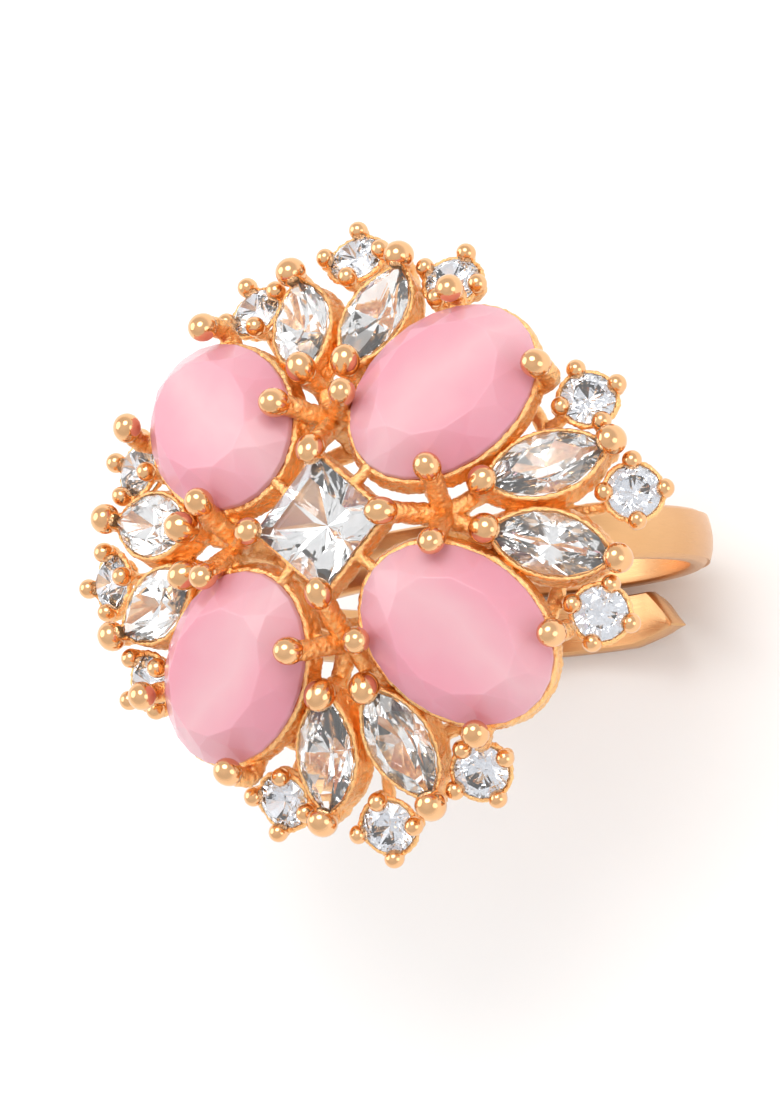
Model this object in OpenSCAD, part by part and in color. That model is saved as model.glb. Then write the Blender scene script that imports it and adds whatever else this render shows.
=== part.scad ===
// Floral cluster cocktail ring on an open bypass shank.
// Frame: the finger runs along Y, the flower faces +Z, and the origin is the centre of the finger hole.
// Angles round the finger hole start at +X and turn towards +Z, so the flower stands at 90 degrees.

/* [Shank] */
// Inner diameter of the finger hole
finger_d = 17.3; // [16:0.1:19]
// Radial thickness of the band
band_t = 1.0; // [0.8:0.1:1.4]
// Width of the band along the finger
band_w = 2.1; // [1.8:0.05:2.4]
// Sideways step of each arm at the back of the finger
bypass_step = 1.28; // [1.25:0.01:1.6]
// Shift of the whole band along the finger
band_shift = 0.05; // [-0.5:0.05:0.5]
// Lean of the band against the finger's cross-section
band_lean = 4.5; // [0:0.5:6]
// Arc that each arm covers, counted from the top
arm_arc = 219; // [210:1:235]
// Arc from the top to each shoulder, where an arm flexes
shoulder_arc = 30; // [28:1:34]

/* [Head] */
// Height of the centre claws' beads above the centre of the finger hole
head_h = 14.94; // [14.5:0.1:16]
// Thickness of the gallery's wires
wire_d = 0.7; // [0.5:0.05:0.8]

/* [Centre stone] */
// Side of the square stone
square_side = 4.0; // [3.8:0.1:4.2]
// Distance of the centre claws' beads from the middle
square_bead_r = 2.78; // [2.7:0.02:2.9]

/* [Oval stones] */
// Length of an oval stone
oval_l = 8.5; // [8.2:0.1:8.8]
// Width of an oval stone
oval_w = 6.5; // [6.2:0.1:6.8]
// Distance of an oval stone's middle from the flower's axis
oval_r = 7.0; // [6.9:0.02:7.2]
// Depth of the oval girdles under the centre claws' beads
oval_drop = 2.3; // [2.2:0.01:2.5]
// Outward tilt of the oval stones
oval_tilt = 20.4; // [18:0.2:24]

/* [Marquise stones] */
// Length of a marquise stone
marquise_l = 5.0; // [4.8:0.1:5.2]
// Width of a marquise stone
marquise_w = 2.5; // [2.3:0.1:2.5]
// Distance of a marquise stone's middle from the flower's axis, along its side
marquise_r = 8.99; // [8.9:0.01:9.2]
// Distance of a marquise stone's middle from its side's centre line
marquise_y = 1.70; // [1.6:0.01:1.8]
// Turn of a marquise stone away from its side's centre line
marquise_turn = 17.3; // [16:0.1:19]
// Outward tilt of the marquise stones
marquise_tilt = 28.1; // [26:0.1:30]

/* [Round stones] */
// Diameter of a small round stone
round_d = 2.2; // [2:0.05:2.3]
// Distance of each side's middle round stone from the flower's axis
round_mid_r = 11.83; // [11.7:0.01:12]
// Distance of the other round stones from the flower's axis
round_side_r = 11.15; // [11:0.01:11.3]
// Angle between the middle round stone and its neighbours
round_spread = 23.6; // [23:0.1:24.5]
// Outward tilt of the round stones
round_tilt = 31; // [28:1:34]

/* [Hidden] */
SIDES = ["right", "back", "left", "front"];
CORNERS = ["back_right", "back_left", "front_left", "front_right"];
PAIR = ["a", "b"];
TRIO = ["a", "b", "c"];
$fn = 32;

gold = "#E0A058";
pink = "#F2B0BE";
clear = "#EDEFF2";

bore_r = finger_d / 2;
band_r = bore_r + band_t;
mid_r = bore_r + band_t / 2;
wire_r = wire_d / 2;
// An arm's rounded root turns in a round seat in the bridge; the arm's own face starts a little further on.
root_r = 0.45;
root_gap = 0.03;
root_break = 0.9;

// Girdles lie this far under their claws' beads, along each stone's own axis.
square_sink = 0.50;
oval_sink = 1.20;
marquise_sink = 0.40;
round_sink = 0.30;

oval_bead = 0.55;
marquise_bead = 0.58;
square_bead = 0.52;
round_bead = 0.40;
oval_claw = [3.12, 2.56];
marquise_claw = 2.59;
round_claw = 1.22;
marquise_drop = 3.0;
round_mid_drop = 5.10;
round_side_drop = 4.73;
// The right side's middle round stone sits a little off its side's centre line.
ROUND_MID_TURN = [2, 0, 0, 0];

// The top of each side's trunk, where the claws round it spring from.
trunk_top = [4.5, 0, -2.6];
trunk_r = 0.5;
hub_r = 3.6;
hub_z = -4.5;
rail_r = 8.6;
rail_z = -5.5;

// Crowns and pavilions: [share of the girdle's outline, height over the girdle].
SQUARE_CUT = [[0.06, -2.1], [0.62, -1.2], [1, -0.1], [1, 0.08], [0.86, 0.42], [0.66, 0.62]];
OVAL_CUT = [[0.08, -2.2], [0.55, -1.5], [1, -0.12], [1, 0.12], [0.95, 0.62], [0.85, 1.05], [0.64, 1.36]];
MARQUISE_CUT = [[0.08, -1.3], [0.6, -0.75], [1, -0.08], [1, 0.06], [0.82, 0.36], [0.6, 0.52]];
ROUND_CUT = [[0.08, -0.92], [1, -0.05], [1, 0.05], [0.8, 0.28], [0.58, 0.38]];

// ---- outlines of the stones at the girdle ----

function square_outline() = [for (a = [0:90:270]) square_side / sqrt(2) * [cos(a), sin(a)]];

function oval_outline(grow = 0, n = 32) =
    [for (i = [0:n - 1]) [(oval_l / 2 + grow) * cos(360 * i / n), (oval_w / 2 + grow) * sin(360 * i / n)]];

marquise_arc_r = (pow(marquise_l, 2) + pow(marquise_w, 2)) / (4 * marquise_w);
marquise_half = asin(marquise_l / 2 / marquise_arc_r);

function marquise_outline(n = 8) = [
    for (s = [1, -1]) for (i = [0:n - 1]) let (a = marquise_half * (1 - 2 * i / n))
        s * [marquise_arc_r * sin(a), marquise_arc_r * (cos(a) - cos(marquise_half))]
];

function round_outline(n = 16) = [for (i = [0:n - 1]) round_d / 2 * [cos(360 * i / n), sin(360 * i / n)]];

// ---- shared shapes ----

// A solid through stacked copies of one outline, each scaled and lifted as the cut says.
module stone_solid(outline, cut) {
    n = len(outline);
    top = len(cut) - 1;
    points = [for (c = cut) for (p = outline) [p.x * c[0], p.y * c[0], c[1]]];
    walls = [
        for (k = [0:top - 1]) for (i = [0:n - 1]) let (j = (i + 1) % n, a = k * n, b = a + n)
            for (f = [[a + i, b + i, b + j], [a + i, b + j, a + j]]) f
    ];
    floor_face = [for (i = [0:n - 1]) i];
    table_face = [for (i = [n - 1:-1:0]) top * n + i];
    polyhedron(points, concat(walls, [floor_face, table_face]));
}

module rod(from, to, r) {
    v = to - from;
    translate(from) rotate([0, acos(v.z / norm(v)), atan2(v.y, v.x)]) cylinder(h = norm(v), r = r);
}

// Wires from point to point with a slightly fuller round at every bend.
module wire(path, r, first = 0) {
    for (i = [0:len(path) - 2]) rod(path[i], path[i + 1], r);
    for (i = [first:len(path) - 1]) translate(path[i]) sphere(r = 1.08 * r);
}

module claw(path, r, bead) {
    wire(path, r, 1);
    translate(path[0]) sphere(r = bead);
}

// ---- where each stone sits: its girdle's middle at the origin, its table facing +Z ----

module at_head(angle) {
    translate([0, 0, head_h]) rotate([0, 0, angle]) children();
}

module at_oval(corner) {
    at_head(45 + 90 * corner) translate([oval_r, 0, -oval_drop]) rotate([0, oval_tilt, 0]) children();
}

module at_marquise(side, hand) {
    at_head(90 * side) translate([marquise_r, hand * marquise_y, -marquise_drop])
        rotate([0, 0, hand * marquise_turn]) rotate([0, marquise_tilt, 0]) translate([0, 0, -marquise_sink])
            children();
}

module at_round(side, step) {
    r = step == 0 ? round_mid_r : round_side_r;
    drop = step == 0 ? round_mid_drop : round_side_drop;
    turn = step == 0 ? ROUND_MID_TURN[side] : step * round_spread;
    at_head(90 * side + turn) translate([r, 0, -drop])
        rotate([0, round_tilt, 0]) translate([0, 0, -round_sink]) children();
}

// ---- stones ----

module centre_stone() {
    color(clear) at_head(0) translate([0, 0, -square_sink]) stone_solid(square_outline(), SQUARE_CUT);
}

module oval_stone(corner) {
    color(pink) at_oval(corner) stone_solid(oval_outline(), OVAL_CUT);
}

module marquise_stone(side, hand) {
    color(clear) at_marquise(side, hand) stone_solid(marquise_outline(), MARQUISE_CUT);
}

module round_stone(side, step) {
    color(clear) at_round(side, step) stone_solid(round_outline(), ROUND_CUT);
}

// ---- settings ----

// Four walls under the girdle and a corner claw over each point, springing from its side's trunk.
module centre_setting() {
    wall_top = -square_sink - 0.35;
    claw_foot = [square_bead_r + 0.45, 0, wall_top - 0.4];
    color(gold) at_head(0) {
        rotate([0, 0, 45]) translate([0, 0, wall_top - 0.7]) linear_extrude(0.7) difference() {
            square(square_side + 0.5, center = true);
            square(square_side + 0.04, center = true);
        }
        for (a = [0:90:270]) rotate([0, 0, a])
            claw([[square_bead_r + 0.1, 0, 0], claw_foot, trunk_top], 0.36, square_bead);
    }
}

module oval_rail(inset, wall, z, tall) {
    translate([0, 0, z]) linear_extrude(tall) difference() {
        polygon(oval_outline(-inset));
        polygon(oval_outline(-inset - wall));
    }
}

// A wall round the girdle and a smaller rail under it. The outer claws rise from the wall; the inner ones
// spring from the trunks on either side and lean against it.
module oval_setting(corner) {
    low_post = [2.17, 1.42, -2.1];
    high_post = [3.12, 2.55, -0.6];
    shoulder_post = [oval_claw.x + 0.18, oval_claw.y + 0.18, 0.2];
    outer_bead = [oval_claw.x, oval_claw.y, oval_sink];
    inner_bead = [5.08, 1.51, 0.02];
    inner_bend = [4.88, 1.0, -1.0];
    inner_foot = [trunk_top.x, 0.2, trunk_top.z];
    color(gold) {
        at_oval(corner) {
            oval_rail(-0.3, 0.28, -0.85, 0.75);
            oval_rail(1.3, 0.6, -2.35, 0.5);
            for (hand = [0, 1]) mirror([0, hand, 0]) {
                claw([outer_bead, shoulder_post, high_post, low_post], 0.33, oval_bead);
                mirror([1, 0, 0]) wire([high_post, low_post], 0.33);
            }
        }
        for (hand = [0, 1]) at_head(90 * corner + 90 * hand) mirror([0, hand, 0])
            claw([inner_bead, inner_bend, inner_foot], 0.33, oval_bead);
    }
}

module marquise_outline_2d(grow) {
    intersection_for(s = [1, -1])
        translate([0, s * (marquise_arc_r - marquise_w / 2)]) circle(r = marquise_arc_r + grow, $fn = 64);
}

// A thin boat-shaped wall with a claw at each point and a keel. The inner claw springs from the trunk.
module marquise_setting(side, hand) {
    wall_h = 1.15;
    claw_x = marquise_claw + 0.14;
    keel_z = -wall_h - 0.4;
    inner_knee = [6.0, 0.77 * hand, -3.1];
    inner_foot = [trunk_top.x + 0.1, 0.15 * hand, trunk_top.z - 0.1];
    color(gold) {
        at_marquise(side, hand) {
            translate([0, 0, -wall_h]) linear_extrude(wall_h) difference() {
                marquise_outline_2d(0.2);
                marquise_outline_2d(0.02);
            }
            for (end = [1, -1])
                claw([[end * claw_x, 0, marquise_sink], [end * claw_x, 0, keel_z]], 0.3, marquise_bead);
            rod([-claw_x, 0, keel_z], [claw_x, 0, keel_z], 0.27);
            rod([0, 0, keel_z], [-0.3, 0, -2.1], 0.35);
        }
        at_head(90 * side) wire([inner_knee, inner_foot], 0.32);
    }
}

// A short open cup, narrower below, with four claws in a cross, shallow enough to leave the finger room.
module round_setting(side, step) {
    cup_r = round_d / 2 + 0.02;
    wall = 0.16;
    deep = 0.75;
    // How much narrower the cup gets per millimetre of depth.
    slope = 0.66;
    past = 0.5;
    color(gold) at_round(side, step) {
        translate([0, 0, -deep]) difference() {
            cylinder(h = deep, r1 = cup_r + wall - slope * deep, r2 = cup_r + wall);
            translate([0, 0, -past])
                cylinder(h = deep + 2 * past, r1 = cup_r - slope * (deep + past), r2 = cup_r + slope * past);
        }
        for (a = [0:90:270]) rotate([0, 0, a])
            claw([[round_claw + 0.02, 0, round_sink], [round_claw, 0, -0.05]], 0.22, round_bead);
    }
}

// ---- gallery: a hub and an outer rail on eight spokes, trunks to the claws and outriggers to the cups ----

module flat_ring(r, z, wall, tall) {
    translate([0, 0, z]) difference() {
        cylinder(h = tall, r = r + wall / 2, center = true, $fn = 64);
        cylinder(h = tall + 1, r = r - wall / 2, center = true, $fn = 64);
    }
}

module gallery() {
    spoke_r = wire_r - 0.05;
    color(gold) at_head(0) {
        flat_ring(hub_r, hub_z, wire_d + 0.1, wire_d + 0.1);
        flat_ring(rail_r, rail_z, wire_d, wire_d);
        for (a = [0:45:315]) rotate([0, 0, a]) rod([hub_r, 0, hub_z], [rail_r, 0, rail_z], spoke_r);
        for (a = [0:90:270]) rotate([0, 0, a]) {
            rod([hub_r + 0.3, 0, hub_z], trunk_top, trunk_r);
            translate(trunk_top) sphere(r = trunk_r + 0.04);
            // Each outrigger ends under the inner side of its cup, clear of the stone.
            rod([rail_r, 0, rail_z], [round_mid_r - 1.23, 0, -round_mid_drop - 0.5], 0.28);
            for (step = [-1, 1]) rotate([0, 0, step * round_spread])
                rod([rail_r, 0, rail_z], [round_side_r - 1.23, 0, -round_side_drop - 0.5], 0.28);
        }
    }
}

// ---- shank ----

// Middle of the band along the finger, at an angle round the hole; arm is +1, -1 or 0 for the bridge.
function band_y(angle, arm) =
    band_shift - tan(band_lean) * mid_r * sin(angle) + arm * bypass_step * abs(90 - angle) / 180;

function shoulder(arm) = 90 - arm * shoulder_arc;

module tube(half_length, outer, inner) {
    rotate([90, 0, 0]) difference() {
        cylinder(h = 2 * half_length, r = outer, center = true, $fn = 96);
        cylinder(h = 2 * half_length + 1, r = inner, center = true, $fn = 96);
    }
}

// A slab that follows one arm round the finger and closes to a point near its outer edge.
module arm_slab(arm) {
    // Arc over which each edge runs in to the point, and the point's distance from the band's middle.
    inner_taper = 12;
    outer_taper = 19;
    point_y = 0.5;
    start = shoulder_arc + root_break;
    arcs = [for (i = [0:20]) start + (arm_arc - outer_taper - start) * i / 20,
        arm_arc - inner_taper, arm_arc - inner_taper / 2, arm_arc];
    stations = [
        for (s = arcs) let (
            t = 90 - arm * s,
            y = band_y(t, arm),
            near = point_y + (band_w / 2 - point_y) * min(1, (arm_arc - s) / outer_taper),
            far = -point_y + (band_w / 2 + point_y) * min(1, (arm_arc - s) / inner_taper),
            edges = [y + arm * (near + 0.04), y - arm * (far - 0.04)]
        ) [t, min(edges), max(edges)]
    ];
    n = len(stations);
    points = [
        for (s = stations) for (p = [[7.5, s[1]], [11, s[1]], [11, s[2]], [7.5, s[2]]])
            [p.x * cos(s[0]), p.y, p.x * sin(s[0])]
    ];
    walls = [
        for (k = [0:n - 2]) for (i = [0:3]) let (j = (i + 1) % 4, a = 4 * k, b = a + 4)
            for (f = [[a + i, a + j, b + j], [a + i, b + j, b + i]]) f
    ];
    last = 4 * (n - 1);
    faces = concat([[3, 2, 1, 0]], walls, [[last, last + 1, last + 2, last + 3]]);
    polyhedron(points, arm > 0 ? faces : [for (f = faces) [for (i = [len(f) - 1:-1:0]) f[i]]]);
}

module root_pin(arm, r, length) {
    t = shoulder(arm);
    translate([mid_r * cos(t), band_y(t, arm), mid_r * sin(t)]) rotate([90, 0, 0])
        cylinder(h = length, r = r, center = true, $fn = 48);
}

// The rounded root is the line about which the arm flexes.
module arm(side) {
    color(gold) {
        intersection() {
            tube(6, band_r, bore_r);
            arm_slab(side);
        }
        root_pin(side, root_r, band_w - 0.2);
    }
}

module upper_arm() { arm(1); }

module lower_arm() { arm(-1); }

module shank_bridge() {
    reach = 12;
    bridge_w = band_w + 0.5;
    post_x = hub_r - 0.1;
    y = band_y(90, 0) + 0.08;
    color(gold) {
        difference() {
            translate([0, y, 0]) tube(bridge_w / 2, band_r, bore_r);
            for (arm = [1, -1]) {
                rotate([0, -shoulder(arm), 0]) translate([-reach, -reach, arm > 0 ? -2 * reach : 0])
                    cube([2 * reach, 2 * reach, 2 * reach]);
                root_pin(arm, root_r + root_gap, 2 * bridge_w);
            }
        }
        for (s = [1, -1]) translate([s * post_x - 0.5, -0.9, mid_r * sin(acos(post_x / mid_r))])
            cube([1, 1.8, head_h + hub_z - mid_r * sin(acos(post_x / mid_r))]);
    }
}

// ---- assembly ----

centre_stone();
centre_setting();
for (i = [0:3]) {
    oval_stone(i);
    oval_setting(i);
}
for (i = [0:3]) for (k = [0:1]) {
    marquise_stone(i, 2 * k - 1);
    marquise_setting(i, 2 * k - 1);
}
for (i = [0:3]) for (k = [0:2]) {
    round_stone(i, k - 1);
    round_setting(i, k - 1);
}
gallery();
shank_bridge();
upper_arm();
lower_arm();
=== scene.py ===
"""Floral cluster cocktail ring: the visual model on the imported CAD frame.

Shapes are worked out in millimetres and stored in metres. The finger runs along Y, the flower faces +Z,
and the origin is the centre of the finger hole.
"""

import random
from math import acos, cos, pi, radians, sin, sqrt, tan

import bmesh
import bpy
from mathutils import Matrix, Vector, noise


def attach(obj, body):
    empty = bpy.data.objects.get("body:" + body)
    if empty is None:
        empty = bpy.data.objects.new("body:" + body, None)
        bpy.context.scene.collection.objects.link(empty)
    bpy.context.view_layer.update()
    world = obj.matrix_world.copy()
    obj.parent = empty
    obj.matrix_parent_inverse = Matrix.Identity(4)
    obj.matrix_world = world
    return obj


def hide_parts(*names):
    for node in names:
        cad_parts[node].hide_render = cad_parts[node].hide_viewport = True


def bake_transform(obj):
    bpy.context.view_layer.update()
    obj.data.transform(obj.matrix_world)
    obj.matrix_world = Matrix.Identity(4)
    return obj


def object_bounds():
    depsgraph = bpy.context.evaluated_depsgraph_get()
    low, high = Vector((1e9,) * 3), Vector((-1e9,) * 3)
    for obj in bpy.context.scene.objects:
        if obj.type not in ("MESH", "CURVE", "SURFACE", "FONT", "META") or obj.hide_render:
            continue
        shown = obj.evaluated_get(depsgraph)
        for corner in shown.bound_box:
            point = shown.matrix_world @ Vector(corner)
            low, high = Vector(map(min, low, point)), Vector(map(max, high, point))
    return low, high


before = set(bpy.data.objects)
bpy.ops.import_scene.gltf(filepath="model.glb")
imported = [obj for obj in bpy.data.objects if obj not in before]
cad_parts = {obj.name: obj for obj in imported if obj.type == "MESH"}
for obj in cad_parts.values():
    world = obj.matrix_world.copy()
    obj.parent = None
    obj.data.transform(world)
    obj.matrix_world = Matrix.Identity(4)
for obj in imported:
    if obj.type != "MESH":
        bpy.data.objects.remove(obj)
cad_box = [list(corner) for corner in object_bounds()]

MM = 0.001
SIDES = ("right", "back", "left", "front")
CORNERS = ("back_right", "back_left", "front_left", "front_right")

# ---- driving dimensions, in millimetres and degrees, as in the CAD model ----

BORE_R = 8.65
BAND_T = 1.0
BAND_W = 2.1
BYPASS_STEP = 1.28
BAND_SHIFT = 0.05
BAND_LEAN = 4.5
ARM_ARC = 219.0
MID_R = BORE_R + BAND_T / 2

HEAD_H = 14.94
SQUARE_SIDE = 4.0
OVAL_L, OVAL_W = 8.5, 6.5
OVAL_R, OVAL_DROP, OVAL_TILT = 7.0, 2.3, 20.4
MARQUISE_L, MARQUISE_W = 5.0, 2.5
MARQUISE_AT = (8.99, 1.70, -3.0)
MARQUISE_TURN, MARQUISE_TILT = 17.3, 28.1
ROUND_D = 2.2
ROUND_MID = (11.83, -5.10)
ROUND_SIDE = (11.15, -4.73)
ROUND_SPREAD, ROUND_TILT = 23.6, 31.0
# How far the middle round stone of each side is turned about the flower's axis.
ROUND_MID_TURN = (2.0, 0.0, 0.0, 0.0)

# How far each girdle lies under its claws' beads.
SQUARE_SINK, OVAL_SINK, MARQUISE_SINK, ROUND_SINK = 0.50, 1.20, 0.40, 0.30

TRUNK_TOP = Vector((4.5, 0.0, -2.6))
HUB_R, HUB_Z = 3.6, -4.5
RAIL_R, RAIL_Z = 8.6, -5.5

# ---- the looks' own dimensions ----

# How far the centre claws' beads stand from the middle: a little further out than in the CAD model.
SQUARE_BEAD_R = 2.88
# The radii of the beads and of the gallery's two round wires.
SQUARE_BEAD, OVAL_BEAD, MARQUISE_BEAD, ROUND_BEAD = 0.57, 0.58, 0.62, 0.40
HUB_WIRE, RAIL_WIRE = 0.4, 0.34

# The cell that a casting's parts are fused with, and how often its skin is smoothed.
VOXEL = 0.065
FUSE_RELAX = 4
# How far a casting's skin stands in and out, and the pitch, at a fine and a coarse step.
CAST_FINE, CAST_FINE_PITCH = 0.045, 7.0
CAST_COARSE, CAST_COARSE_PITCH = 0.04, 2.6

# Each cut: the table's share of the girdle, and the heights of the crown, the pavilion and the girdle.
SQUARE_CUT = (0.62, 0.62, 2.1, 0.12)
OVAL_CUT = (0.66, 1.36, 2.2, 0.24)
MARQUISE_CUT = (0.60, 0.50, 1.28, 0.08)
ROUND_CUT = (0.58, 0.38, 0.92, 0.06)
# The star facets' feet, as shares of the way out from the table's edge and up from the girdle.
STAR_OUT, STAR_UP = 0.45, 0.62
# The lower facets' inner corners, as shares of the girdle and of the pavilion's height.
LOWER_SHARE, LOWER_DEPTH = 0.24, 0.79
# Worn facet edges on the pink stones.
WORN_EDGE, WORN_ANGLE = 0.05, 4

# The number of sections along each arm.
BAND_STEPS = 180
# How many degrees before its point each edge of the arm tapers, and how far off the middle the point lies.
INNER_TAPER, OUTER_TAPER, POINT_Y = 12.0, 19.0, 0.5
# The arm's end has this share of the full thickness, and thickens over this much arc.
END_THIN, END_ARC = 0.66, 9.0

# ---- colours ----

# The deep colour is a painted shade for the casting's hollows.
CAST_HIGH = (0.95, 0.55, 0.24, 1)
CAST_HOLLOW_SHADE = (0.96, 0.43, 0.09, 1)
CAST_RUBBED = (0.97, 0.64, 0.34, 1)
BEAD_DARK, BEAD_BRIGHT = (0.80, 0.45, 0.22), (0.84, 0.50, 0.26)
BAND_DARK, BAND_BRIGHT = (0.68, 0.37, 0.165), (0.74, 0.43, 0.21)
# The pink stones' colours: the streak is a painted sheen, and the edge is a little darker than the body.
PINK_EDGE = (0.69, 0.29, 0.36)
PINK_BODY = (0.70, 0.34, 0.40)
PINK_PAINTED_SHEEN = (0.72, 0.42, 0.46)
CLEAR_DARK, CLEAR_BRIGHT = (0.95, 0.965, 0.98), (1.0, 1.0, 1.0)
SMALL_DARK, SMALL_BRIGHT = (0.80, 0.84, 0.92), (0.93, 0.95, 1.0)
FLOOR_DARK, FLOOR_BRIGHT = (0.93, 0.925, 0.92), (0.95, 0.945, 0.94)

# How far the painted sheen's streak wanders, and the range of its place from stone to stone, as shares of
# the width.
STREAK_WANDER = 0.35
STREAK_FROM, STREAK_TO = -0.24, -0.06

# ---- light and view ----

LIGHT_DISTANCE = 0.5
LIGHT_TARGET = Vector((0, 0, 0.008))
# Name, direction it comes from, disc size in metres, watts and colour.
LIGHTS = (
    ("key", (0.25, 0.4, 0.92), 0.34, 1.05, (1.0, 0.985, 0.96)),
    ("left", (-0.9, 0.25, 0.6), 0.42, 0.8, (1, 1, 1)),
    ("right", (1.0, -0.3, 0.35), 0.3, 0.35, (1, 1, 1)),
)
# The white tent, from straight down to straight up: its ends, then the steps between as (height, grey).
TENT_DOWN, TENT_UP = (0.95, 0.93, 0.91, 1), (0.8, 0.8, 0.8, 1)
TENT_STEPS = ((0.5, 1.0), (0.60, 0.72), (0.8, 0.68))
TENT_STRENGTH = 1.18

VIEW_RIGHT = Vector((0.8978, -0.0562, -0.4368))
VIEW_UP = Vector((0.1400, 0.9768, 0.1620))
VIEW_TARGET = Vector((-2.967, 1.266, 1.696))
VIEW_HEIGHT = 44.32
LENS, SENSOR = 1000.0, 36.0
# The picture's height holds at the depth of a point this far under the flower's top.
VIEW_SINK = 2

dice = random.Random(7)


# ---- places ----


def turned(axis, angle):
    return Matrix.Rotation(radians(angle), 4, axis)


def moved(x, y, z):
    return Matrix.Translation((x, y, z))


def at_head(angle):
    """The flower's own frame, turned about its axis; Z = 0 is the centre claws' bead height."""
    return moved(0, 0, HEAD_H) @ turned("Z", angle)


def at_oval(corner):
    return at_head(45 + 90 * corner) @ moved(OVAL_R, 0, -OVAL_DROP) @ turned("Y", OVAL_TILT)


def at_marquise(side, hand):
    x, y, z = MARQUISE_AT
    place = at_head(90 * side) @ moved(x, hand * y, z) @ turned("Z", hand * MARQUISE_TURN)
    return place @ turned("Y", MARQUISE_TILT) @ moved(0, 0, -MARQUISE_SINK)


def at_round(side, step):
    r, z = ROUND_SIDE if step else ROUND_MID
    turn = step * ROUND_SPREAD if step else ROUND_MID_TURN[side]
    return at_head(90 * side + turn) @ moved(r, 0, z) @ turned("Y", ROUND_TILT) @ moved(0, 0, -ROUND_SINK)


def marquises():
    """Each marquise's name ending, side, hand and place."""
    for i, side in enumerate(SIDES):
        for letter, hand in (("a", -1), ("b", 1)):
            yield f"{side}_{letter}", i, hand, at_marquise(i, hand)


def rounds():
    """Each round stone's name ending and place."""
    for i, side in enumerate(SIDES):
        for letter, step in (("a", -1), ("b", 0), ("c", 1)):
            yield f"{side}_{letter}", at_round(i, step)


# ---- node materials ----


class Shader:
    """A material's node tree, with short ways to add and link nodes."""

    def __init__(self, name):
        self.material = bpy.data.materials.new(name)
        self.material.use_nodes = True
        self.tree = self.material.node_tree
        self.base = self.tree.nodes["Principled BSDF"]

    def node(self, kind, **settings):
        made = self.tree.nodes.new(kind)
        for key, value in settings.items():
            if key in made.inputs.keys():
                self.put(made.inputs[key], value)
            else:
                setattr(made, key, value)
        return made

    def put(self, socket, value):
        if isinstance(value, bpy.types.NodeSocket):
            self.tree.links.new(value, socket)
        else:
            socket.default_value = value

    def set(self, **values):
        for key, value in values.items():
            self.put(self.base.inputs[key.replace("_", " ")], value)

    def coordinates(self, scale=(1, 1, 1), source="Object"):
        where = self.node("ShaderNodeTexCoord")
        mapping = self.node("ShaderNodeMapping", Scale=scale)
        self.put(mapping.inputs["Vector"], where.outputs[source])
        return mapping.outputs["Vector"]

    def noise(self, vector, scale, detail=4.0, rough=0.5):
        made = self.node("ShaderNodeTexNoise", Vector=vector, Scale=scale, Detail=detail, Roughness=rough)
        return made.outputs["Fac"]

    def ramp(self, fac, stops):
        made = self.node("ShaderNodeValToRGB", Fac=fac)
        elements = made.color_ramp.elements
        while len(elements) < len(stops):
            elements.new(0.5)
        for element, (at, colour) in zip(elements, stops):
            element.position = at
            element.color = (*colour, 1.0)
        return made.outputs["Color"]

    def mix(self, fac, a, b):
        made = self.node("ShaderNodeMix", data_type="RGBA")
        self.put(made.inputs["Factor"], fac)
        self.put(made.inputs["A"], a)
        self.put(made.inputs["B"], b)
        return made.outputs["Result"]

    def span(self, value, low, high, to_low, to_high):
        made = self.node("ShaderNodeMapRange")
        for key, number in (("From Min", low), ("From Max", high), ("To Min", to_low), ("To Max", to_high)):
            made.inputs[key].default_value = number
        self.put(made.inputs["Value"], value)
        return made.outputs["Result"]

    def bump(self, height, strength, distance):
        made = self.node("ShaderNodeBump", Strength=strength, Distance=distance, Height=height)
        return made.outputs["Normal"]


def cast_gold():
    """Cast gold: a painted shade, deeper in colour, down in the hollows, with rubbed patches and a fine
    grain.
    """
    s = Shader("cast_gold")
    place = s.coordinates()
    grain = s.noise(place, 4600, 5, 0.7)
    patches = s.noise(place, 900, 3)
    # Painted shade: where pointiness finds a hollow, the gold takes the deeper, darker shade colour.
    painted_hollow_shade = s.span(s.node("ShaderNodeNewGeometry").outputs["Pointiness"], 0.44, 0.53, 1.0, 0.0)
    colour = s.mix(painted_hollow_shade, CAST_HIGH, CAST_HOLLOW_SHADE)
    s.set(Base_Color=s.mix(s.span(patches, 0.35, 0.7, 0.0, 0.25), colour, CAST_RUBBED))
    s.set(Metallic=1.0, Roughness=s.span(grain, 0.3, 0.7, 0.10, 0.26))
    s.set(Normal=s.bump(grain, 0.7, 0.00011))
    return s.material


def bead_gold():
    """Claw beads, polished bright, with the faint ripple of hand finishing."""
    s = Shader("bead_gold")
    place = s.coordinates()
    ripple = s.noise(place, 1400, 2)
    s.set(Base_Color=s.ramp(ripple, [(0.3, BEAD_DARK), (0.7, BEAD_BRIGHT)]))
    s.set(Metallic=1.0, Roughness=s.span(ripple, 0.3, 0.7, 0.10, 0.18))
    s.set(Normal=s.bump(ripple, 0.25, 0.00004))
    return s.material


def band_gold():
    """Satin band, rubbed lengthwise: fine lines along the arm, over a faintly cloudy plating."""
    s = Shader("band_gold")
    lines = s.noise(s.coordinates((6, 220, 1), "UV"), 3.0, 4, 0.6)
    cloud = s.noise(s.coordinates(), 260, 3)
    colour = s.ramp(cloud, [(0.3, BAND_DARK), (0.7, BAND_BRIGHT)])
    s.set(Base_Color=colour, Metallic=1.0, Roughness=s.span(lines, 0.3, 0.7, 0.24, 0.36))
    s.set(Normal=s.bump(lines, 0.12, 0.00003))
    return s.material


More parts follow.
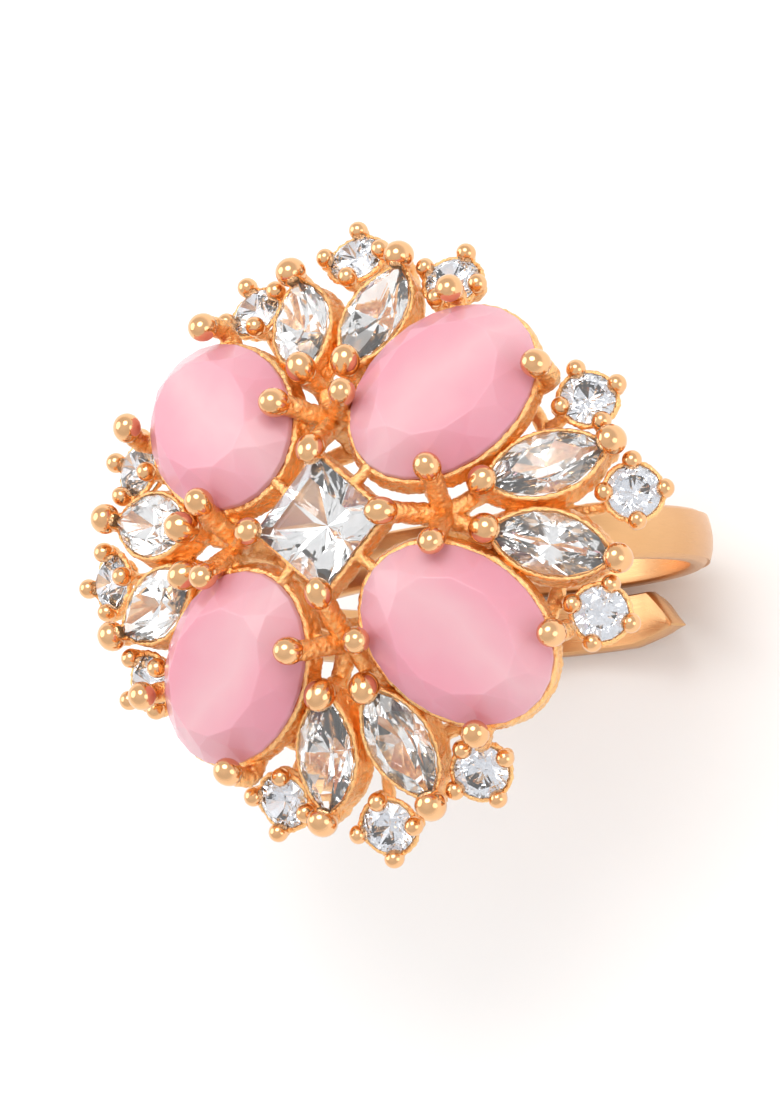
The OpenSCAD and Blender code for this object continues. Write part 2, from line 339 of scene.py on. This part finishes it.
def pink_glass():
    """Milky pink glass with a painted sheen: a soft streak of light along the stone, nearer one side on
    some stones.
    """
    s = Shader("pink_glass")
    place = s.coordinates((1, 1, 1), "UV")
    cloud = s.noise(place, 2.6, 2)
    across = s.node("ShaderNodeSeparateXYZ", Vector=place).outputs["Y"]
    shift = s.span(s.node("ShaderNodeObjectInfo").outputs["Random"], 0.0, 1.0, STREAK_FROM, STREAK_TO)
    wander = s.node("ShaderNodeMath", operation="MULTIPLY_ADD")
    s.put(wander.inputs[0], cloud)
    wander.inputs[1].default_value = STREAK_WANDER
    s.put(wander.inputs[2], across)
    moved_streak = s.node("ShaderNodeMath", operation="ADD")
    s.put(moved_streak.inputs[0], wander.outputs[0])
    s.put(moved_streak.inputs[1], shift)
    # Painted sheen: lightest along the streak, and a little darker toward the stone's sides.
    colour = s.ramp(moved_streak.outputs[0], [
        (0.08, PINK_EDGE), (0.26, PINK_BODY), (0.50, PINK_PAINTED_SHEEN), (0.72, PINK_BODY), (0.94, PINK_EDGE)])
    s.set(Base_Color=colour, Roughness=0.16, IOR=1.5, Specular_IOR_Level=0.28)
    s.set(Subsurface_Weight=0.35, Subsurface_Radius=(1.0, 0.45, 0.5), Subsurface_Scale=0.0012)
    s.set(Normal=s.bump(s.noise(s.coordinates(), 700, 2), 0.06, 0.00005))
    return s.material


def clear_stone(name, dark, light, through, bend):
    """Clear cut crystal with faint wisps; it scatters back the light that it doesn't let through."""
    s = Shader(name)
    wisps = s.noise(s.coordinates(), 900, 3)
    s.set(Base_Color=s.ramp(wisps, [(0.35, dark), (0.7, light)]))
    s.set(Transmission_Weight=through, Roughness=0.0, IOR=bend)
    return s.material


GOLD = cast_gold()
BEAD = bead_gold()
BAND = band_gold()
PINK = pink_glass()
CLEAR = clear_stone("clear_stone", CLEAR_DARK, CLEAR_BRIGHT, through=0.95, bend=1.75)
SMALL_CLEAR = clear_stone("small_clear_stone", SMALL_DARK, SMALL_BRIGHT, through=0.97, bend=2.2)


# ---- mesh building ----


def ellipse(a, b, n, start=0.0):
    return [(a * cos(2 * pi * i / n + start), b * sin(2 * pi * i / n + start)) for i in range(n)]


def oval_outline(grow=0.0, n=48):
    return ellipse(OVAL_L / 2 + grow, OVAL_W / 2 + grow, n)


def marquise_outline(grow=0.0, n=20):
    """Two arcs that meet in points at both ends of X."""
    arc_r = (MARQUISE_L**2 + MARQUISE_W**2) / (4 * MARQUISE_W) + grow
    middle = arc_r - grow - MARQUISE_W / 2
    half = acos(middle / arc_r)
    angles = [half * (1 - 2 * i / n) for i in range(n)]
    arc = [(arc_r * sin(a), arc_r * cos(a) - middle) for a in angles]
    return arc + [(-x, -y) for x, y in arc]


def smooth_path(points, steps=6):
    """Points along a Catmull-Rom curve through the given ones, whose 4th number is a radius."""
    pts = [Vector(p) for p in points]
    ends = [2 * pts[0] - pts[1], *pts, 2 * pts[-1] - pts[-2]]
    out = []
    for i in range(1, len(ends) - 2):
        a, b, c, d = ends[i - 1 : i + 3]
        first, second, third = c - a, 2 * a - 5 * b + 4 * c - d, 3 * b - a - 3 * c + d
        for k in range(steps):
            t = k / steps
            out.append(0.5 * (2 * b + first * t + second * t**2 + third * t**3))
    return [*out, pts[-1]]


def dome(bm, place, ring, end, inner, radius, flip):
    """Closes a tube's last ring with a low dome over its end."""
    n = len(ring)
    tip = bm.verts.new(place @ (end + (end - inner).normalized() * 0.6 * radius))
    for k in range(n):
        pair = (ring[(k + 1) % n], ring[k]) if flip else (ring[k], ring[(k + 1) % n])
        bm.faces.new((*pair, tip))


def tube(bm, path, place, sides=10, closed=False):
    """A round tube along points (x, y, z, radius), with domed ends unless it is closed on itself."""
    pts = [Vector(p[:3]) for p in path]
    radii = [p[3] for p in path]
    n = len(pts)
    angles = [2 * pi * k / sides for k in range(sides)]
    rings = []
    side = None
    for i, p in enumerate(pts):
        before = pts[i - 1] if i or closed else p
        after = pts[(i + 1) % n] if i < n - 1 or closed else p
        along = (after - before).normalized()
        if side is None:
            side = along.orthogonal().normalized()
        side = (side - along * side.dot(along)).normalized()
        other = along.cross(side)
        rings.append([
            bm.verts.new(place @ (p + radii[i] * (cos(a) * side + sin(a) * other))) for a in angles
        ])
    pairs = list(zip(rings, rings[1:])) + ([(rings[-1], rings[0])] if closed else [])
    for low, high in pairs:
        for k in range(sides):
            bm.faces.new((low[k], low[(k + 1) % sides], high[(k + 1) % sides], high[k]))
    if not closed:
        dome(bm, place, rings[0], pts[0], pts[1], radii[0], True)
        dome(bm, place, rings[-1], pts[-1], pts[-2], radii[-1], False)


def hoop(bm, place, outline, z, radius):
    """A closed round wire on an outline, all at one height."""
    tube(bm, [(x, y, z, radius) for x, y in outline], place, closed=True)


def claw(bm, place, points, radii):
    """A smooth bent wire through the points, with a radius at each."""
    tube(bm, smooth_path([(*p, r) for p, r in zip(points, radii)]), place)


def ball(bm, place, radii):
    made = bmesh.ops.create_icosphere(bm, subdivisions=3, radius=1.0)
    bmesh.ops.transform(bm, matrix=place @ Matrix.Diagonal((*radii, 1.0)), verts=made["verts"])


def bead_at(place, point, radius, along, stretch):
    """A bead a little longer along its claw, and not quite like its neighbours."""
    turn = Vector(along).to_track_quat("Z", "Y").to_matrix().to_4x4()
    plump = radius * (1.04 - 0.07 * dice.random())
    return (place @ moved(*point) @ turn, (plump, plump * (1 - 0.06 * dice.random()), plump * stretch))


def wall(bm, place, outline, thick, low, high, flare):
    """A thin wall on an outline, with a rounded top and a foot that may flare outwards."""
    half = thick / 2
    foot, round_out, round_in = 0.22, 0.08, 0.06
    section = [
        (-half, low),
        (half + flare, low),
        (half + flare, low + foot),
        (half + 0.3 * flare, (low + high) / 2),
        (half, high - round_out),
        (0.0, high),
        (-half, high - round_in),
    ]
    n, m = len(outline), len(section)
    rings = []
    for i in range(n):
        here, before, after = (Vector(outline[k % n]) for k in (i, i - 1, i + 1))
        run = (after - before).normalized()
        out = Vector((run.y, -run.x))
        if out.dot(here) < 0:
            out = -out
        rings.append([bm.verts.new(place @ Vector((*(here + out * u), v))) for u, v in section])
    for i in range(n):
        a, b = rings[i], rings[(i + 1) % n]
        for k in range(m):
            bm.faces.new((a[k], b[k], b[(k + 1) % m], a[(k + 1) % m]))


def finished(name, bm, body, node, materials, smooth=None):
    """Turns millimetre mesh work into a piece in metres; body and node may be left for the caller."""
    bmesh.ops.recalc_face_normals(bm, faces=bm.faces)
    mesh = bpy.data.meshes.new(name)
    bm.to_mesh(mesh)
    bm.free()
    mesh.transform(Matrix.Scale(MM, 4))
    piece = bpy.data.objects.new(name, mesh)
    bpy.context.scene.collection.objects.link(piece)
    for material in materials:
        mesh.materials.append(material)
    if smooth is not None:
        mesh.shade_smooth()
        mesh.set_sharp_from_angle(angle=radians(smooth))
    if body:
        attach(piece, body)
    if node:
        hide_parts(node)
    return piece


def cast_step(vert):
    """How far a rough casting's skin stands in or out at a vertex."""
    fine = CAST_FINE * noise.noise(vert.co * CAST_FINE_PITCH)
    return vert.normal * (fine + CAST_COARSE * noise.noise(vert.co * CAST_COARSE_PITCH))


def fused(bm):
    """The bmesh as one skin, the way the parts of a casting run together, with softened joints."""
    mesh = bpy.data.meshes.new("rough")
    bmesh.ops.recalc_face_normals(bm, faces=bm.faces)
    bm.to_mesh(mesh)
    bm.free()
    thing = bpy.data.objects.new("rough", mesh)
    bpy.context.scene.collection.objects.link(thing)
    remesh = thing.modifiers.new("skin", "REMESH")
    remesh.mode = "VOXEL"
    remesh.voxel_size = VOXEL
    soft = thing.modifiers.new("soft", "SMOOTH")
    soft.factor = 0.5
    soft.iterations = FUSE_RELAX
    made = bmesh.new()
    made.from_object(thing, bpy.context.evaluated_depsgraph_get())
    made.normal_update()
    steps = [cast_step(vert) for vert in made.verts]
    for vert, step in zip(made.verts, steps):
        vert.co += step
    bpy.data.objects.remove(thing)
    bpy.data.meshes.remove(mesh)
    return made


def cast_piece(name, casting, node):
    """A fused casting in gold alone."""
    skin = fused(casting)
    for face in skin.faces:
        face.smooth = True
    finished(name, skin, "head", node, (GOLD,))


def setting(name, casting, beads):
    """A setting: its fused casting and its claws' polished beads, as one piece with two materials."""
    skin = fused(casting)
    count = len(skin.faces)
    for place, radii in beads:
        ball(skin, place, radii)
    skin.faces.ensure_lookup_table()
    for i, face in enumerate(skin.faces):
        face.material_index = 0 if i < count else 1
        face.smooth = True
    finished(name + "_casting", skin, "head", name, (GOLD, BEAD))


# ---- cut stones ----


def lay_flat(bm, uv, outline):
    """Spreads the stone's UV map flat over its outline, so that a streak runs from end to end."""
    long_r = max(x for x, y in outline)
    wide_r = max(y for x, y in outline)
    for face in bm.faces:
        for loop in face.loops:
            x, y, z = loop.vert.co
            loop[uv].uv = (0.5 + x / (2 * long_r), 0.5 + y / (2 * wide_r))


def cut_stone(name, place, girdle, node, material, cut):
    """A brilliant-cut stone on any girdle outline, built in its own frame and then placed.

    Every second girdle point is a main facet's foot. cut is one of the cuts listed at the top.
    """
    table, crown, depth, girdle_h = cut
    bm = bmesh.new()
    uv = bm.loops.layers.uv.new("stone")
    n = len(girdle)
    mains = n // 2

    def ring(points, share, z):
        return [bm.verts.new((x * share, y * share, z)) for x, y in points]

    high = ring(girdle, 1, girdle_h / 2)
    low = ring(girdle, 1, -girdle_h / 2)
    top = ring(girdle[::2], table, crown)
    star_z = girdle_h / 2 + (crown - girdle_h / 2) * STAR_UP
    stars = ring(girdle[1::2], table + (1 - table) * STAR_OUT, star_z)
    inner = ring(girdle[1::2], LOWER_SHARE, -depth * LOWER_DEPTH)
    culet = bm.verts.new((0, 0, -depth))
    bm.faces.new(top)
    for i in range(mains):
        a, b, c = 2 * i, 2 * i + 1, (2 * i + 2) % n
        bm.faces.new((top[i], stars[i - 1], high[a], stars[i]))
        bm.faces.new((top[i], stars[i], top[(i + 1) % mains]))
        bm.faces.new((stars[i], high[a], high[b]))
        bm.faces.new((stars[i], high[b], high[c]))
        bm.faces.new((culet, inner[i - 1], low[a], inner[i]))
        bm.faces.new((inner[i], low[a], low[b]))
        bm.faces.new((inner[i], low[b], low[c]))
    for i in range(n):
        j = (i + 1) % n
        bm.faces.new((high[i], low[i], low[j], high[j]))
    lay_flat(bm, uv, girdle)
    bm.transform(place)
    return finished(name, bm, "head", node, (material,))


def centre_stone():
    r = SQUARE_SIDE / sqrt(2)
    corners = ellipse(r, r, 4)
    girdle = []
    for i in range(4):
        (x0, y0), (x1, y1) = corners[i], corners[(i + 1) % 4]
        girdle += [(x0 + (x1 - x0) * k, y0 + (y1 - y0) * k) for k in (0, 0.26, 0.5, 0.74)]
    place = at_head(0) @ moved(0, 0, -SQUARE_SINK)
    cut_stone("princess_stone", place, girdle, "centre_stone", CLEAR, SQUARE_CUT)


def oval_stones():
    girdle = oval_outline(n=24)
    for i, corner in enumerate(CORNERS):
        node = "oval_stone_" + corner
        stone = cut_stone("pink_oval_" + corner, at_oval(i), girdle, node, PINK, OVAL_CUT)
        bevel = stone.modifiers.new("worn_edges", "BEVEL")
        bevel.width = WORN_EDGE * MM
        bevel.segments = 2
        bevel.limit_method = "ANGLE"
        bevel.angle_limit = radians(WORN_ANGLE)
        bevel.harden_normals = True


def marquise_stones():
    girdle = marquise_outline(n=6)
    for end, _, _, place in marquises():
        node = "marquise_stone_" + end
        cut_stone("marquise_" + end, place, girdle, node, CLEAR, MARQUISE_CUT)


def round_stones():
    for end, place in rounds():
        girdle = ellipse(ROUND_D / 2, ROUND_D / 2, 16, start=dice.random())
        node = "round_stone_" + end
        cut_stone("round_" + end, place, girdle, node, SMALL_CLEAR, ROUND_CUT)


# ---- settings: each list of points is a wire's path in the frame it is placed in ----


def centre_setting():
    bm = bmesh.new()
    half = SQUARE_SIDE / 2 + 0.04
    steps = 7
    edge = [(-half + 2 * half * k / steps, -half) for k in range(steps)]
    outline = edge + [(-y, x) for x, y in edge] + [(-x, -y) for x, y in edge] + [(y, -x) for x, y in edge]
    wall(bm, at_head(45), outline, 0.28, -SQUARE_SINK - 1.1, -SQUARE_SINK - 0.12, flare=0.04)
    r = SQUARE_BEAD_R
    corner_claw = [(r, 0, -0.1), (r + 0.45, 0, -0.7), (r + 0.9, 0, -1.4), TRUNK_TOP]
    strut_to_oval = [(half, 0, -0.9), (3.0, 0, -1.1)]
    beads = []
    for i in range(4):
        place = at_head(90 * i)
        claw(bm, place, corner_claw, (0.46, 0.46, 0.46, 0.5))
        beads.append(bead_at(place, (r + 0.08, 0, -0.06), SQUARE_BEAD, along=(1, 0, -0.7), stretch=1.22))
        claw(bm, at_head(45 + 90 * i), strut_to_oval, (0.24, 0.28))
    setting("centre_setting", bm, beads)


def oval_outer_claw(bm, place, hand):
    """Adds a claw at the oval's outer end and a post under its inner end; gives the claw's bead."""

    def flip(p, x=1):
        return (x * p[0], hand * p[1], p[2])

    low_post, high_post = (2.17, 1.42, -2.1), (3.12, 2.55, -0.6)
    points = [flip(p) for p in ((3.12, 2.56, OVAL_SINK), (3.34, 2.76, 0.45), (3.26, 2.7, -0.4), low_post)]
    claw(bm, place, points, (0.44, 0.42, 0.42, 0.38))
    bead = bead_at(place, points[0], OVAL_BEAD, along=flip((-0.5, -0.4, 1.0)), stretch=1.15)
    claw(bm, place, [flip(high_post, -1), flip(low_post, -1)], (0.36, 0.36))
    return bead


def oval_inner_claw(bm, place, y):
    """Adds a claw from a trunk to the oval's inner end, on side y of the trunk; gives its bead."""
    trunk = (TRUNK_TOP.x, 0.1 * y, TRUNK_TOP.z - 0.2)
    points = [(5.08, 1.51 * y, -0.12), (4.98, 1.1 * y, -0.9), (4.72, 0.55 * y, -1.8), trunk]
    claw(bm, place, points, (0.46, 0.44, 0.45, 0.5))
    return bead_at(place, points[0], OVAL_BEAD, along=(0.15, 0.5 * y, 1.0), stretch=1.15)


def oval_settings():
    for i, corner in enumerate(CORNERS):
        bm = bmesh.new()
        place = at_oval(i)
        wall(bm, place, oval_outline(), 0.30, -1.0, -0.1, flare=0.08)
        hoop(bm, place, oval_outline(-1.55, 32), -2.1, 0.32)
        beads = []
        for hand in (1, -1):
            beads.append(oval_outer_claw(bm, place, hand))
            beads.append(oval_inner_claw(bm, at_head(90 * i + (0 if hand < 0 else 90)), -hand))
        setting("oval_setting_" + corner, bm, beads)


def marquise_settings():
    reach = MARQUISE_L / 2 + 0.23
    keel = -1.55
    for name_end, i, hand, place in marquises():
        bm = bmesh.new()
        wall(bm, place, marquise_outline(0.11), 0.2, -1.15, 0.02, flare=0.2)
        claw(bm, place, [(-reach, 0, keel), (0, 0, keel - 0.1), (reach, 0, keel)], (0.3, 0.26, 0.3))
        claw(bm, place, [(0, 0, keel), (-0.3, 0, -2.1)], (0.34, 0.36))
        beads = []
        for end in (1, -1):
            top = (end * reach, 0, MARQUISE_SINK)
            claw(bm, place, [top, (end * reach, 0, -0.6), (end * reach, 0, keel)], (0.44, 0.42, 0.36))
            beads.append(bead_at(place, top, MARQUISE_BEAD, along=(-0.7 * end, 0, 1), stretch=1.15))
        arm_to_trunk = [(6.0, 0.77 * hand, -3.1), (5.2, 0.4 * hand, -3.0), (4.6, 0.1 * hand, -2.7)]
        claw(bm, at_head(90 * i), arm_to_trunk, (0.40, 0.42, 0.46))
        setting("marquise_setting_" + name_end, bm, beads)


def round_settings():
    reach = 1.24
    rim = ellipse(ROUND_D / 2 + 0.1, ROUND_D / 2 + 0.1, 28)
    foot = ellipse(ROUND_D / 2 - 0.22, ROUND_D / 2 - 0.22, 28)
    top = (reach, 0, ROUND_SINK)
    for name_end, place in rounds():
        bm = bmesh.new()
        hoop(bm, place, rim, -0.12, 0.13)
        hoop(bm, place, foot, -0.68, 0.13)
        beads = []
        for a in (0, 90, 180, 270):
            arm = place @ turned("Z", a)
            claw(bm, arm, [top, (reach + 0.03, 0, -0.1), (reach - 0.35, 0, -0.7)], (0.31, 0.30, 0.22))
            beads.append(bead_at(arm, top, ROUND_BEAD, along=(-0.3, 0, 1), stretch=1.06))
        setting("round_setting_" + name_end, bm, beads)


# ---- gallery and band ----


def gallery():
    """Hub and rail on eight spokes, four trunks, and an outrigger to each round cup."""
    bm = bmesh.new()
    hoop(bm, at_head(0), ellipse(HUB_R, HUB_R, 64), HUB_Z, HUB_WIRE)
    hoop(bm, at_head(0), ellipse(RAIL_R, RAIL_R, 64), RAIL_Z, RAIL_WIRE)
    spoke = [(HUB_R, 0, HUB_Z), ((HUB_R + RAIL_R) / 2, 0, HUB_Z - 0.4), (RAIL_R, 0, RAIL_Z)]
    for i in range(8):
        claw(bm, at_head(45 * i), spoke, (0.32, 0.28, 0.32))
    trunk = [(HUB_R + 0.2, 0, HUB_Z), (HUB_R + 0.6, 0, -3.5), TRUNK_TOP]
    for i in range(4):
        claw(bm, at_head(90 * i), trunk, (0.5, 0.5, 0.62))
        for step in (-1, 0, 1):
            r, z = ROUND_SIDE if step else ROUND_MID
            outrigger = [(RAIL_R, 0, RAIL_Z), (r - 1.15, 0, z - 0.5)]
            claw(bm, at_head(90 * i + step * ROUND_SPREAD), outrigger, (0.28, 0.26))
    cast_piece("gallery_casting", bm, "gallery")


def band_y(angle, arm):
    """Middle of the band along the finger at an angle round the hole; arm is 1 or -1."""
    lean = tan(radians(BAND_LEAN)) * MID_R * sin(radians(angle))
    return BAND_SHIFT - lean + arm * BYPASS_STEP * abs(90 - angle) / 180


def band_section(near, far, thin):
    """The band's section as (height over the hole's wall, distance along the finger), crowned outside."""
    middle, half = (near - far) / 2, (near + far) / 2
    edge = min(0.30, 0.8 * half)
    top = BAND_T * thin
    crown = 0.16 * min(1.0, half)
    crown_steps = 12
    out = []
    for k in range(crown_steps + 1):
        v = 1 - 2 * k / crown_steps
        out.append((top - crown * v * v, v * (half - edge * 0.55)))
    # From the crown down to the hole's wall, with each distance as a share of the half width.
    side = [
        (top - crown - 0.10, 0.80),
        (top - crown - 0.24, 0.95),
        (top / 2, 1.0),
        (0.14, 0.97),
        (0.03, 0.9),
        (0.0, 0.75),
    ]
    low = [(h, -(half * v)) for h, v in side]
    high = [(h, half * v) for h, v in reversed(side)]
    return [(h, v + middle) for h, v in out + low + high]


def band_edges(left):
    """How far the band reaches to either side of its middle, left degrees before its point."""
    near = POINT_Y + (BAND_W / 2 - POINT_Y) * min(1.0, left / OUTER_TAPER) ** 0.9
    far = -POINT_Y + (BAND_W / 2 + POINT_Y) * min(1.0, left / INNER_TAPER)
    return near + 0.05, far + 0.05


def band_ring(bm, arm, arc):
    """One section of an arm, arc degrees from the top of the ring."""
    angle = 90 - arm * arc
    y = band_y(angle, arm)
    near, far = band_edges(ARM_ARC - arc)
    thin = END_THIN + (1 - END_THIN) * min(1.0, (ARM_ARC - arc) / END_ARC)
    a = radians(angle)
    return [
        bm.verts.new(((BORE_R + h) * cos(a), y + arm * v, (BORE_R + h) * sin(a)))
        for h, v in band_section(near, far, thin)
    ]


def band_half(name, arm, body):
    """One arm from the top of the ring to its pointed end, as one strip."""
    bm = bmesh.new()
    uv = bm.loops.layers.uv.new("along")
    rings = [band_ring(bm, arm, ARM_ARC * i / BAND_STEPS) for i in range(BAND_STEPS + 1)]
    m = len(rings[0])
    for i, (low, high) in enumerate(zip(rings, rings[1:])):
        for k in range(m):
            face = bm.faces.new((low[k], low[(k + 1) % m], high[(k + 1) % m], high[k]))
            for loop, (u, v) in zip(face.loops, ((i, k), (i, k + 1), (i + 1, k + 1), (i + 1, k))):
                loop[uv].uv = (u / BAND_STEPS, v / m)
    bm.faces.new(rings[0])
    bm.faces.new(rings[-1])
    for face in bm.faces:
        face.smooth = True
    piece = finished(name, bm, None, None, (BAND,), smooth=40)
    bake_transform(piece)
    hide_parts(body)


def bridge_posts():
    """Two saddles that carry the gallery's hub on the band's top."""
    bm = bmesh.new()
    for s in (1, -1):
        x = s * (HUB_R - 0.1)
        foot = sqrt(MID_R**2 - x**2)
        top = HEAD_H + HUB_Z
        for y in (-0.6, 0.0, 0.6):
            post = [(x, y - 0.1, foot), (x, y, (foot + top) / 2), (x, y, top)]
            claw(bm, moved(0, 0, 0), post, (0.5, 0.42, 0.5))
    cast_piece("bridge_saddles", bm, "shank_bridge")


# ---- stage, light and camera ----


def stage():
    """A pale matt floor under the band."""
    bm = bmesh.new()
    bmesh.ops.create_grid(bm, x_segments=8, y_segments=8, size=1.5)
    mesh = bpy.data.meshes.new("floor")
    bm.to_mesh(mesh)
    bm.free()
    floor = bpy.data.objects.new("floor", mesh)
    floor.location = (0, 0, cad_box[0][2])
    bpy.context.scene.collection.objects.link(floor)
    s = Shader("pale_floor")
    s.set(Base_Color=s.ramp(s.noise(s.coordinates(), 40, 2), [(0.3, FLOOR_DARK), (0.7, FLOOR_BRIGHT)]))
    s.set(Roughness=0.9)
    mesh.materials.append(s.material)


def aimed(thing, place, target):
    """Puts a lamp at a place, shining at the target."""
    thing.location = place
    thing.rotation_euler = (Vector(target) - Vector(place)).to_track_quat("-Z", "Y").to_euler()
    bpy.context.scene.collection.objects.link(thing)


def soft_light(name, towards, size, power, colour):
    data = bpy.data.lights.new(name, "AREA")
    data.shape = "DISK"
    data.size = size
    data.energy = power
    data.color = colour
    place = LIGHT_TARGET + Vector(towards).normalized() * LIGHT_DISTANCE
    aimed(bpy.data.objects.new(name, data), place, LIGHT_TARGET)


def tent():
    """A white surround that is darker above, so that polished metal has something to mirror."""
    world = bpy.data.worlds.new("tent")
    world.use_nodes = True
    tree = world.node_tree
    back = tree.nodes["Background"]
    place = tree.nodes.new("ShaderNodeTexCoord")
    split = tree.nodes.new("ShaderNodeSeparateXYZ")
    ramp = tree.nodes.new("ShaderNodeValToRGB")
    half = tree.nodes.new("ShaderNodeMapRange")
    half.inputs["From Min"].default_value = -1
    tree.links.new(place.outputs["Generated"], split.inputs[0])
    tree.links.new(split.outputs["Z"], half.inputs["Value"])
    tree.links.new(half.outputs["Result"], ramp.inputs["Fac"])
    stops = ramp.color_ramp.elements
    stops[0].position, stops[0].color = 0.0, TENT_DOWN
    stops[1].position, stops[1].color = 1.0, TENT_UP
    for at, value in TENT_STEPS:
        stop = stops.new(at)
        stop.color = (value, value, value, 1)
    tree.links.new(ramp.outputs["Color"], back.inputs["Color"])
    back.inputs["Strength"].default_value = TENT_STRENGTH
    return world


def studio():
    scene = bpy.context.scene
    scene.world = tent()
    for light in LIGHTS:
        soft_light(*light)
    scene.view_settings.view_transform = "Standard"


def camera():
    """A long lens, turned so that the finger points up the picture."""
    right = VIEW_RIGHT.normalized()
    back = right.cross(VIEW_UP).normalized()
    up = back.cross(right)
    target = VIEW_TARGET * MM
    depth_of_head = (Vector((0, 0, (HEAD_H - VIEW_SINK) * MM)) - target).dot(back)
    data = bpy.data.cameras.new("camera")
    data.lens = LENS
    data.sensor_width = SENSOR
    data.clip_start, data.clip_end = 0.05, 20.0
    cam = bpy.data.objects.new("camera", data)
    turn = Matrix((right, up, back)).transposed().to_4x4()
    distance = VIEW_HEIGHT * MM * LENS / data.sensor_width + depth_of_head
    cam.matrix_world = Matrix.Translation(target + back * distance) @ turn
    bpy.context.scene.collection.objects.link(cam)
    bpy.context.scene.camera = cam


centre_stone()
oval_stones()
marquise_stones()
round_stones()
centre_setting()
oval_settings()
marquise_settings()
round_settings()
gallery()
band_half("upper_band", 1, "upper_arm")
band_half("lower_band", -1, "lower_arm")
bridge_posts()
stage()
studio()
camera()
